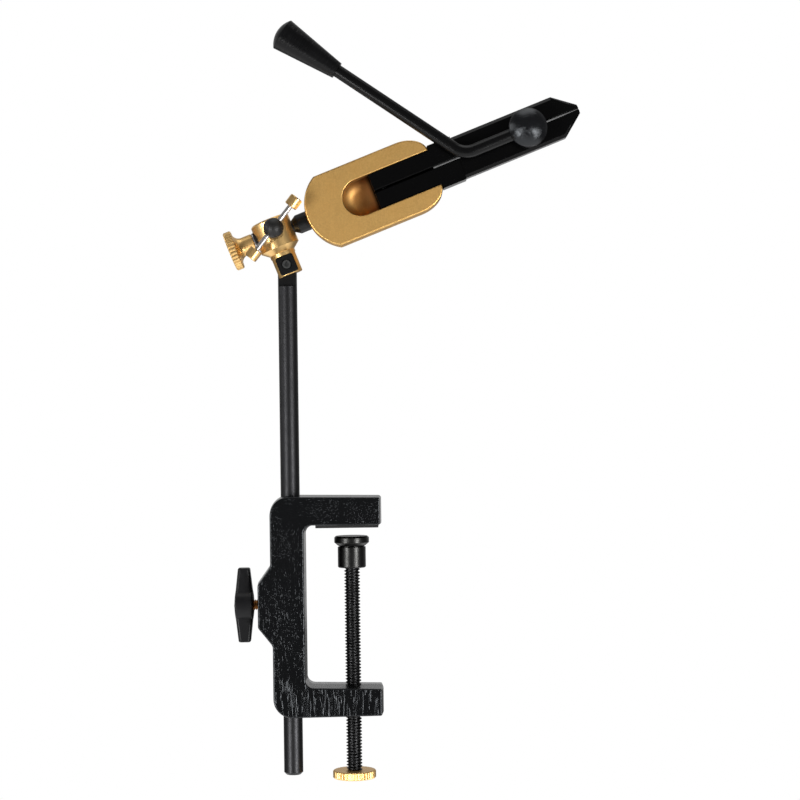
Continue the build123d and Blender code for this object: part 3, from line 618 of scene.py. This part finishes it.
BRASS: Colour = (0.80, 0.535, 0.225)
BRASS_SHADE: Colour = (0.54, 0.33, 0.115)
FINISHES: dict[str, Finish] = {finish.name: finish for finish in (
    WrinklePaint("black_wrinkle_paint", (0.001, 0.001, 0.0012), 0.2, (0.002, 0.002, 0.0023),
                 specular=0.3, depth=0.45 * MM),
    ForkBrass("brass_fork", (0.75, 0.468, 0.162), 0.46, Lay.ALONG_POST, (0.46, 0.26, 0.078), stain=0.5),
    ToolMarkedMetal("brass_drum", BRASS, 0.38, Lay.ROUND_DRUM, BRASS_SHADE, mark_depth=0.15),
    ToolMarkedMetal("brass_knob", BRASS, 0.4, Lay.ROUND_HEAD, BRASS_SHADE, mark_depth=0.1),
    ToolMarkedMetal("brass_cap", BRASS, 0.34, Lay.ROUND_HEAD, BRASS_SHADE, mark_depth=0.05),
    ToolMarkedMetal("brass_stud", (0.42, 0.2, 0.06), 0.4, Lay.ROUND_POST, (0.25, 0.1, 0.03),
                    mark_depth=0.2),
    ToolMarkedMetal("brass_wheel", BRASS, 0.42, Lay.ROUND_POST, BRASS_SHADE, mark_depth=0.2),
    ToolMarkedMetal("post_steel", (0.03, 0.03, 0.0315), 0.44, Lay.ALONG_POST, (0.02, 0.02, 0.021),
                    mark_depth=0.2),
    ToolMarkedMetal("pad_gunmetal", (0.034, 0.034, 0.033), 0.34, Lay.ROUND_POST, (0.022, 0.022, 0.021)),
    ToolMarkedMetal("dull_steel", (0.19, 0.195, 0.19), 0.34, Lay.FRONT_TURNED, (0.07, 0.07, 0.07)),
    ToolMarkedMetal("bright_steel", (0.56, 0.545, 0.53), 0.26, Lay.ALONG_HEAD, (0.38, 0.37, 0.36)),
    ToolMarkedMetal("bar_steel", (0.5, 0.48, 0.46), 0.36, Lay.ALONG_HEAD, (0.36, 0.34, 0.33),
                    mark_depth=0.04),
    ToolMarkedMetal("screw_steel", (0.036, 0.036, 0.037), 0.42, Lay.ROUND_POST, (0.008, 0.008, 0.008)),
    ToolMarkedMetal("black_steel", (0.0025, 0.0025, 0.0027), 0.36, Lay.ROUND_HEAD, (0.0015, 0.0015, 0.0015),
                    metallic=0.0, specular=0.22),
    ToolMarkedMetal("jaw_black", (0.001, 0.001, 0.0011), 0.2, Lay.ALONG_HEAD, (0.0007, 0.0007, 0.0007),
                    metallic=0.0, specular=0.1, mark_depth=0.15),
    ToolMarkedMetal("lever_black", (0.0016, 0.0016, 0.0018), 0.28, Lay.ALONG_LEVER, (0.001, 0.001, 0.001),
                    metallic=0.0, specular=0.16, mark_depth=0.25),
    TurnedBlack("dome_black", (0.0013, 0.0013, 0.0016), 0.21, "cam_dome", specular=0.36),
    Moulded("ball_black", (0.004, 0.0038, 0.0036), 0.48, (0.009, 0.0085, 0.008),
            grain=2600.0, grain_depth=0.02 * MM, specular=0.3),
    Moulded("wing_black", (0.0035, 0.0035, 0.004), 0.4, (0.006, 0.006, 0.0065),
            grain=2600.0, grain_depth=0.01 * MM, specular=0.16),
    RingedBlack("grip_black", (0.0012, 0.0012, 0.0014), 0.3, Lay.ROUND_LEVER, (0.002, 0.002, 0.0023),
                metallic=0.0, specular=0.16, mark_depth=0.9),
    Moulded("pad_rubber", (0.008, 0.008, 0.008), 0.7, (0.018, 0.018, 0.018),
            grain=1500.0, grain_depth=0.05 * MM, specular=0.2),
    Moulded("fibre_black", (0.005, 0.005, 0.005), 0.75, (0.012, 0.011, 0.011),
            grain=2200.0, grain_depth=0.04 * MM, specular=0.15),
    Moulded("nylon_white", (0.72, 0.71, 0.67), 0.45, (0.62, 0.61, 0.57), grain=1500.0, grain_depth=0.01 * MM),
)}


class Sculpt:
    """A bmesh on its way to becoming a piece."""

    FLAT_ANGLE: ClassVar[float] = radians(0.6)
    FRONT_TOLERANCE: ClassVar[float] = 0.02 * MM
    THREAD_ROOT: ClassVar[tuple[float, float]] = (0.0, 0.2)
    THREAD_LAND: ClassVar[tuple[float, float]] = (0.54, 0.66)
    SPARE_TURNS: ClassVar[int] = 3
    KNURL_SHAPE: ClassVar[tuple[float, ...]] = (1.0, 0.45, 0.06, 0.0, 0.06, 0.45)

    def __init__(self) -> None:
        """Start with nothing."""
        self.mesh = bmesh.new()

    @classmethod
    def from_node(cls, node: str) -> "Sculpt":
        """Merged copy of a CAD node's mesh.

        Args:
            node: Name of the node.

        Returns:
            The copy, with flat faces joined up.
        """
        copy = cls()
        copy.mesh.from_mesh(frame["nodes"][node].data)
        bmesh.ops.remove_doubles(copy.mesh, verts=copy.mesh.verts, dist=MERGE)
        bmesh.ops.dissolve_limit(copy.mesh, angle_limit=cls.FLAT_ANGLE, verts=copy.mesh.verts,
                                 edges=copy.mesh.edges, use_dissolve_boundaries=False)
        return copy

    def turn(self, profile: Sequence[Point], steps: int) -> "Sculpt":
        """Turn a closed profile about Z.

        Args:
            profile: Radius and height of each corner, in metres.
            steps: Facets round the turn.

        Returns:
            The sculpt itself.
        """
        corners = [self.mesh.verts.new((radius, 0, height)) for radius, height in profile]
        edges = [self.mesh.edges.new(pair) for pair in zip(corners, corners[1:] + corners[:1])]
        bmesh.ops.spin(self.mesh, geom=corners + edges, cent=(0, 0, 0), axis=(0, 0, 1), dvec=(0, 0, 0),
                       angle=tau, steps=steps, use_merge=True, use_duplicate=False)
        return self.closed()

    def thread(self, radius: float, depth: float, pitch: float, length: float, steps: int = 28) -> "Sculpt":
        """Screw thread along Z from 0 to a length, cut flat at both ends.

        Args:
            radius: Outer radius.
            depth: Height of the thread.
            pitch: Rise in one turn.
            length: Length of the screw.
            steps: Facets in one turn.

        Returns:
            The sculpt itself.
        """
        root = radius - depth
        shape = [*((root, share) for share in self.THREAD_ROOT),
                 *((radius, share) for share in self.THREAD_LAND), (root, 1.0)]
        corners = [self.mesh.verts.new((r, 0, (share - self.SPARE_TURNS / 2) * pitch))
                   for r, share in shape]
        edges = [self.mesh.edges.new(pair) for pair in zip(corners, corners[1:])]
        turns = int(length / pitch) + self.SPARE_TURNS
        bmesh.ops.spin(self.mesh, geom=corners + edges, cent=(0, 0, 0), axis=(0, 0, 1), angle=tau * turns,
                       dvec=(0, 0, pitch / steps), steps=steps * turns, use_merge=False, use_duplicate=False)
        bmesh.ops.remove_doubles(self.mesh, verts=self.mesh.verts, dist=MERGE)
        for level, side in ((0.0, -1), (length, 1)):
            cut = bmesh.ops.bisect_plane(
                self.mesh, geom=self.mesh.verts[:] + self.mesh.edges[:] + self.mesh.faces[:],
                plane_co=(0, 0, level), plane_no=(0, 0, side), clear_outer=True)
            rim = [part for part in cut["geom_cut"] if isinstance(part, bmesh.types.BMEdge)]
            bmesh.ops.contextual_create(self.mesh, geom=rim)
        return self.closed()

    def rod(self, radius: float, start: float, end: float, segments: int = 40) -> "Sculpt":
        """Add a plain rod along Z.

        Args:
            radius: Radius of the rod.
            start: Height of its lower end.
            end: Height of its upper end.
            segments: Facets round it.

        Returns:
            The sculpt itself.
        """
        bmesh.ops.create_cone(
            self.mesh, cap_ends=True, segments=segments, radius1=radius, radius2=radius, depth=end - start,
            matrix=Matrix.Translation((0, 0, (start + end) / 2)))
        return self

    def knurl(self, ridges: int, inner: float, rim: float, depth: float) -> "Sculpt":
        """Press rounded grooves into a rim about Z.

        Args:
            ridges: Number of ridges.
            inner: Radius inside which nothing moves.
            rim: Radius of the rim.
            depth: Depth of the grooves.

        Returns:
            The sculpt itself.
        """
        steps = len(self.KNURL_SHAPE)
        for vertex in self.mesh.verts:
            radius = hypot(vertex.co.x, vertex.co.y)
            if radius > inner:
                place = round(atan2(vertex.co.y, vertex.co.x) / tau * ridges * steps) % steps
                shrink = 1 - depth * self.KNURL_SHAPE[place] / rim
                bmesh.ops.scale(self.mesh, vec=(shrink, shrink, 1), verts=[vertex])
        return self

    def ease(self, width: float, sharpest: float, shortest: float, front: float | None = None,
             segments: int = 2) -> "Sculpt":
        """Round off sharp edges.

        Args:
            width: Width of the rounding.
            sharpest: Angle between faces above which an edge is rounded, in degrees.
            shortest: Length under which an edge is left.
            front: Where given, only edges at this Y are rounded.
            segments: Faces across the rounding.

        Returns:
            The sculpt itself.
        """
        edges = [edge for edge in self.mesh.edges if edge.is_manifold
                 and edge.calc_face_angle(0.0) > radians(sharpest) and edge.calc_length() > shortest
                 and (front is None
                      or all(abs(vert.co.y - front) < self.FRONT_TOLERANCE for vert in edge.verts))]
        bmesh.ops.bevel(self.mesh, geom=edges, offset=width, offset_type="OFFSET", affect="EDGES",
                        segments=segments, profile=0.5, material=-1, clamp_overlap=front is None)
        log.info("eased %d edges by %.2f mm", len(edges), width / MM)
        return self

    def closed(self) -> "Sculpt":
        """Merge doubles and turn all faces outwards.

        Returns:
            The sculpt itself.
        """
        bmesh.ops.remove_doubles(self.mesh, verts=self.mesh.verts, dist=MERGE)
        bmesh.ops.recalc_face_normals(self.mesh, faces=self.mesh.faces)
        return self

    def piece(self, name: str, place: Matrix | None = None, smooth: float = 32.0) -> bpy.types.Object:
        """Finish the mesh as an object at the origin.

        Args:
            name: Name of the piece.
            place: Where the sculpt goes in the part's frame.
            smooth: Angle under which edges are shaded smooth, in degrees.

        Returns:
            The object.
        """
        if place is not None:
            bmesh.ops.transform(self.mesh, matrix=place, verts=self.mesh.verts)
        data = bpy.data.meshes.new(name)
        self.mesh.to_mesh(data)
        self.mesh.free()
        data.shade_smooth()
        data.set_sharp_from_angle(angle=radians(smooth))
        made = bpy.data.objects.new(name, data)
        bpy.context.scene.collection.objects.link(made)
        return made


class Workshop:
    """Dresses CAD nodes and new pieces, and keeps each material once."""

    EASED_SMOOTH: ClassVar[float] = 50.0
    FLAT_WEIGHT: ClassVar[int] = 100

    def __init__(self) -> None:
        """Start with no materials and read where the head lies."""
        self.materials: dict[str, bpy.types.Material] = {}
        self.slots = {part["node"]: part["material_slot"] for part in frame["record"]["subparts"]}
        self.body_of = {node: body for body, nodes in frame["record"]["behaviour"]["bodies"].items()
                        for node in nodes}
        self.head = Matrix.Translation(HEAD_CENTRE) @ Matrix.Rotation(-HEAD_TILT, 4, "Y")

    def material(self, finish: str) -> bpy.types.Material:
        """Material of a finish, made on first use.

        Args:
            finish: Name of the finish.

        Returns:
            The material.
        """
        if finish not in self.materials:
            self.materials[finish] = FINISHES[finish].material()
        return self.materials[finish]

    def dress(self, node: str, finish: str) -> None:
        """Give a CAD node its finish.

        Args:
            node: Name of the node.
            finish: Name of the finish.
        """
        shown = frame["nodes"][node]
        shown.data.materials.clear()
        shown.data.materials.append(self.material(finish))
        log.info("%s keeps its shape and takes %s", node, finish)

    def stand_for(self, piece: bpy.types.Object, node: str, finish: str) -> None:
        """Let a new piece stand for a CAD node.

        Args:
            piece: The new piece, in place.
            node: Node that it replaces.
            finish: Name of its finish.
        """
        piece.data.materials.clear()
        piece.data.materials.append(self.material(finish))
        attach(piece, self.body_of[node])
        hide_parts(node)
        log.info("%s stands for %s in %s", piece.name, node, finish)

    def eased(self, node: str, finish: str, width: float, sharpest: float = 25.0, shortest: float = 1.5 * MM,
              front: float | None = None) -> None:
        """Replace a node by a copy with rounded edges.

        Args:
            node: Node that is copied.
            finish: Name of its finish.
            width: Width of the rounding.
            sharpest: Angle above which an edge is rounded, in degrees.
            shortest: Length under which an edge is left.
            front: Where given, only edges at this Y are rounded.
        """
        sculpt = Sculpt.from_node(node).ease(width, sharpest, shortest, front)
        piece = sculpt.piece(f"{node}_eased", smooth=self.EASED_SMOOTH)
        flats = piece.modifiers.new("flat_faces_stay_flat", "WEIGHTED_NORMAL")
        flats.weight = self.FLAT_WEIGHT
        flats.keep_sharp = True
        self.stand_for(piece, node, finish)


@dataclass
class TableClamp:
    """Painted clamp with its rubber pad, screw, swivel pad and wheel."""

    shop: Workshop
    screw_radius: float = 3.97 * MM
    screw_pitch: float = 1.5875 * MM
    thread_depth: float = 0.85 * MM
    spigot_radius: float = 3.0 * MM
    spigot_length: float = 6.2 * MM
    wheel_radius: float = 10.75 * MM
    wheel_thickness: float = 4.0 * MM
    wheel_bore: float = 2.51 * MM
    wheel_chamfer: float = 0.5 * MM
    wheel_ridges: int = 36
    groove_depth: float = 0.42 * MM
    seat_gap: float = 0.01 * MM
    strip_edge: float = 0.25 * MM
    pad_edge: float = 0.12 * MM
    pad_sharpest: float = 40.0

    def build(self) -> None:
        """Make the screw and its wheel."""
        low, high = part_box("clamp_screw")
        middle = (low + high) / 2
        foot = low.z + self.wheel_thickness
        length = high.z - self.spigot_length - foot
        screw = Sculpt().thread(self.screw_radius, self.thread_depth, self.screw_pitch, length)
        screw.rod(self.wheel_bore - self.seat_gap, -self.wheel_thickness, self.screw_pitch)
        screw.rod(self.spigot_radius, length - self.screw_pitch, length + self.spigot_length)
        piece = screw.piece("clamp_screw_thread", Matrix.Translation((middle.x, middle.y, foot)))
        self.shop.stand_for(piece, "clamp_screw", "screw_steel")
        rim, edge, height = self.wheel_radius, self.wheel_chamfer, self.wheel_thickness
        wheel = Sculpt().turn([
            (self.wheel_bore, 0), (rim - 3 * edge, 0), (rim - edge, 0), (rim, edge), (rim, height - edge),
            (rim - edge, height), (rim - 3 * edge, height), (self.wheel_bore, height)],
            self.wheel_ridges * len(Sculpt.KNURL_SHAPE))
        wheel.knurl(self.wheel_ridges, rim - 2 * edge, rim, self.groove_depth)
        piece = wheel.piece("thumb_wheel_ridged", Matrix.Translation((middle.x, middle.y, low.z)))
        self.shop.stand_for(piece, "thumb_wheel", "brass_wheel")

    def dress(self) -> None:
        """Finish the casting and the pads."""
        self.shop.dress("clamp_frame", "black_wrinkle_paint")
        self.shop.eased("upper_pad", "pad_rubber", self.strip_edge)
        for node in ("pad_disc", "pad_cup"):
            self.shop.eased(node, "pad_gunmetal", self.pad_edge, self.pad_sharpest, 0.0)


@dataclass
class PostAndLock:
    """Post with the wing knob that locks it, and the tang on its top."""

    shop: Workshop
    stud_radius: float = 2.65 * MM
    stud_pitch: float = 1.0 * MM
    stud_depth: float = 0.5 * MM

    def build(self) -> None:
        """Make the threaded stud."""
        low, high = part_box("lock_stud")
        middle = (low + high) / 2
        stud = Sculpt().thread(self.stud_radius, self.stud_depth, self.stud_pitch, high.x - low.x)
        place = Matrix.Translation((low.x, middle.y, middle.z)) @ Matrix.Rotation(pi / 2, 4, "Y")
        self.shop.stand_for(stud.piece("lock_stud_thread", place), "lock_stud", "brass_stud")

    def dress(self) -> None:
        """Finish the post, the knob, the tip and the tang."""
        self.shop.dress("post", "post_steel")
        self.shop.dress("lock_knob", "wing_black")
        self.shop.dress("lock_tip", "brass_wheel")
        self.shop.dress("post_tang", "black_steel")


@dataclass
class Knuckle:
    """Brass knuckle with its pivot, spindle, tension knob and lock."""

    shop: Workshop
    knob_radius: float = 9.95 * MM
    knob_flange: float = 4.0 * MM
    knob_hub: float = 4.6 * MM
    knob_length: float = 13.1 * MM
    knob_flare: float = 3.8 * MM
    knob_chamfer: float = 0.5 * MM
    knob_bore: float = 2.55 * MM
    knob_bore_depth: float = 12.22 * MM
    knob_rear: float = -24.08 * MM
    knob_ridges: int = 30
    groove_depth: float = 0.42 * MM
    flare_steps: int = 8

    def flare(self) -> list[Point]:
        """Quarter-round from the flange to the hub, as radius and height.

        Returns:
            The points of the arc.
        """
        angles = [pi / 2 * step / self.flare_steps for step in range(self.flare_steps + 1)]
        centre = Vector((self.knob_hub + self.knob_flare, self.knob_flange + self.knob_flare))
        arc = [centre + Matrix.Rotation(-angle, 2) @ Vector((0, -self.knob_flare)) for angle in angles]
        return [(point.x, point.y) for point in arc]

    def build(self) -> None:
        """Make the knurled tension knob."""
        rim, edge, flange = self.knob_radius, self.knob_chamfer, self.knob_flange
        end, hub = self.knob_length, self.knob_hub
        profile = [(0.0, 0.0), (rim - 3 * edge, 0.0), (rim - edge, 0.0), (rim, edge), (rim, flange - edge),
                   (rim - edge, flange), *self.flare(), (hub, end - edge), (hub - edge, end),
                   (self.knob_bore, end), (self.knob_bore, end - self.knob_bore_depth),
                   (0.0, end - self.knob_bore_depth)]
        knob = Sculpt().turn(profile, self.knob_ridges * len(Sculpt.KNURL_SHAPE))
        knob.knurl(self.knob_ridges, rim - 2 * edge, rim, self.groove_depth)
        place = self.shop.head @ Matrix.Translation((self.knob_rear, 0, 0)) @ Matrix.Rotation(pi / 2, 4, "Y")
        self.shop.stand_for(knob.piece("tension_knob_ridged", place), "tension_knob", "brass_knob")

    def dress(self) -> None:
        """Finish the drum, its pivot, the spindle and the lock."""
        self.shop.dress("knuckle", "brass_drum")
        self.shop.dress("pivot_nut", "black_steel")
        self.shop.dress("pivot_screw", "dull_steel")
        self.shop.dress("spindle", "black_steel")
        self.shop.dress("friction_washer", "fibre_black")
        self.shop.dress("thrust_ring", "bright_steel")
        self.shop.dress("lock_plug", "nylon_white")
        self.shop.dress("spindle_lock_screw", "ball_black")
        self.shop.dress("tommy_bar", "bar_steel")
        for node in ("tommy_cap_front", "tommy_cap_rear"):
            self.shop.dress(node, "brass_cap")


@dataclass
class JawHead:
    """Brass fork with the split jaws, the cam and the lever."""

    shop: Workshop
    jaw_edge: float = 0.22 * MM
    jaw_sharpest: float = 20.0
    jaw_shortest: float = 3.0 * MM
    pocket_rim: float = 0.5 * MM
    pocket_sharpest: float = 60.0

    def build(self) -> None:
        """Make the jaws with eased edges."""
        for node in ("jaw_upper", "jaw_lower"):
            self.shop.eased(node, "jaw_black", self.jaw_edge, self.jaw_sharpest, self.jaw_shortest)

    def dress(self) -> None:
        """Finish the fork, the pins, the cam and the lever."""
        low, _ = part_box("jaw_holder")
        self.shop.eased("jaw_holder", "brass_fork", self.pocket_rim, self.pocket_sharpest, 0.0, low.y)
        for node in ("jaw_pin_upper", "jaw_pin_lower", "cam_washer"):
            self.shop.dress(node, "bright_steel")
        self.shop.dress("jaw_spring", "screw_steel")
        for node in ("cam_shaft", "cam_screw"):
            self.shop.dress(node, "black_steel")
        self.shop.dress("cam_dome", "dome_black")
        self.shop.dress("lever_rod", "lever_black")
        self.shop.dress("lever_grip", "grip_black")


@dataclass(frozen=True)
class SoftBox:
    """One soft lamp, aimed at the middle of the part."""

    name: str
    place: tuple[float, float, float]
    width: float
    height: float
    power: float

    def build(self, aim: Vector) -> None:
        """Make the lamp.

        Args:
            aim: Point that it faces.
        """
        lamp = bpy.data.lights.new(self.name, "AREA")
        lamp.shape = "RECTANGLE"
        lamp.size, lamp.size_y = self.width, self.height
        lamp.energy = self.power
        made = bpy.data.objects.new(self.name, lamp)
        spot = Vector(self.place)
        turn = (aim - spot).to_track_quat("-Z", "Y").to_matrix().to_4x4()
        made.matrix_world = Matrix.Translation(spot) @ turn
        bpy.context.scene.collection.objects.link(made)


SOFT_BOXES = (
    SoftBox("soft_box_left", (-0.85, -1.0, -0.25), width=0.34, height=0.7, power=15.0),
    SoftBox("soft_box_right", (0.85, -1.05, -0.25), width=0.34, height=0.7, power=19.0),
    SoftBox("soft_box_side", (-1.1, -0.1, 0.35), width=0.5, height=0.5, power=3.0),
    SoftBox("soft_box_top", (0.05, -0.05, 1.4), width=1.2, height=0.8, power=6.0),
)


@dataclass
class Studio:
    """Camera, lamps, white floor and white surroundings."""

    aim_x: float = 0.0272
    aim_z: float = 0.063
    distance: float = 1.05
    half_width: float = 0.2
    roll: float = radians(-0.74)
    floor_drop: float = 0.55
    floor_size: float = 12.0
    clip_end: float = 50.0
    room_places: tuple[float, ...] = (0.1, 0.4, 0.6, 0.85)
    room_front: float = 0.22
    room_side: float = 0.2
    room_back: float = 0.6
    floor_near: float = 1.6
    floor_far: float = 0.15
    ambient: float = 0.45
    floor_grey: float = 0.85
    near_whiteness: float = 0.85
    white_from: float = 0.8
    white_to: float = 1.2
    glow_from: float = 1.0
    glow_to: float = 1.6

    def camera(self) -> None:
        """Camera straight in front, at the photograph's angle."""
        data = bpy.data.cameras.new("camera")
        data.angle = 2 * atan(self.half_width / self.distance)
        data.clip_end = self.clip_end
        made = bpy.data.objects.new("camera", data)
        made.matrix_world = (Matrix.Translation((self.aim_x, -self.distance, self.aim_z))
                             @ Matrix.Rotation(pi / 2, 4, "X") @ Matrix.Rotation(self.roll, 4, "Z"))
        bpy.context.scene.collection.objects.link(made)
        bpy.context.scene.camera = made

    def lamps(self) -> None:
        """Tall soft boxes at both sides in front, one at the left and a wide one above."""
        aim = Vector((self.aim_x, 0, self.aim_z))
        for box in SOFT_BOXES:
            box.build(aim)

    def surroundings(self) -> None:
        """White world for the camera, with a room for reflections that is darkest at the sides."""
        world = bpy.data.worlds.new("studio")
        world.use_nodes = True
        bpy.context.scene.world = world
        shader = Shader(world.node_tree)
        path = {name: shader.node("ShaderNodeLightPath", output=name) for name in (
            "Is Camera Ray", "Is Glossy Ray", "Is Transmission Ray")}
        direction = shader.node("ShaderNodeTexCoord", output="Generated")
        depth = shader.node("ShaderNodeSeparateXYZ", None, {0: direction}, "Y")
        levels = (self.room_front, self.room_side, self.room_side, self.room_back)
        room = shader.ramp(depth * 0.5 + 0.5, *zip(self.room_places, levels))
        seen = path["Is Glossy Ray"].most(path["Is Transmission Ray"])
        indirect = seen * room + (1 - seen) * self.ambient
        strength = path["Is Camera Ray"] + (1 - path["Is Camera Ray"]) * indirect
        light = shader.node("ShaderNodeBackground", None, {"Color": (1, 1, 1, 1), "Strength": strength})
        shader.node("ShaderNodeOutputWorld", None, {"Surface": light})

    def floor(self) -> None:
        """Plain pale floor below the part."""
        mesh = bmesh.new()
        bmesh.ops.create_grid(mesh, x_segments=1, y_segments=1, size=self.floor_size / 2,
                              matrix=Matrix.Translation((0, 0, CAD_BOX[0][2] - self.floor_drop)))
        data = bpy.data.meshes.new("floor")
        mesh.to_mesh(data)
        mesh.free()
        made = bpy.data.objects.new("floor", data)
        bpy.context.scene.collection.objects.link(made)
        paint = bpy.data.materials.new("floor_white")
        paint.use_nodes = True
        shader = Shader(paint.node_tree)
        seen = shader.node("ShaderNodeLightPath", output="Is Camera Ray")
        mirrored = shader.node("ShaderNodeLightPath", output="Is Glossy Ray")
        far = shader.node("ShaderNodeVectorMath", {"operation": "LENGTH"}, {0: shader.place()}, "Value")
        matt = shader.node("ShaderNodeBsdfDiffuse", None, {"Color": (*[self.floor_grey] * 3, 1)})
        white, near_glow, far_glow = (
            shader.node("ShaderNodeEmission", None, {"Color": (1, 1, 1, 1), "Strength": strength})
            for strength in (1.0, self.floor_near, self.floor_far))
        whiter = shader.share(far, self.white_from, self.white_to) * (1 - self.near_whiteness)
        plain = shader.node("ShaderNodeMixShader", None, {
            0: seen * (whiter + self.near_whiteness), 1: matt, 2: white})
        glow = shader.node("ShaderNodeMixShader", None, {
            0: shader.share(far, self.glow_from, self.glow_to), 1: near_glow, 2: far_glow})
        mixed = shader.node("ShaderNodeMixShader", None, {0: mirrored, 1: plain, 2: glow})
        shader.node("ShaderNodeOutputMaterial", None, {"Surface": mixed})
        data.materials.append(paint)

    def build(self) -> None:
        """Set up the whole studio."""
        bpy.context.scene.view_settings.view_transform = "Standard"
        self.camera()
        self.lamps()
        self.surroundings()
        self.floor()


def main() -> None:
    """Build and dress each sub-assembly, then the studio."""
    logging.basicConfig(level=logging.INFO, format="%(name)s: %(message)s")
    shop = Workshop()
    for assembly in (TableClamp(shop), PostAndLock(shop), Knuckle(shop), JawHead(shop)):
        assembly.build()
        assembly.dress()
    Studio().build()


if __name__ == "__main__":
    main()
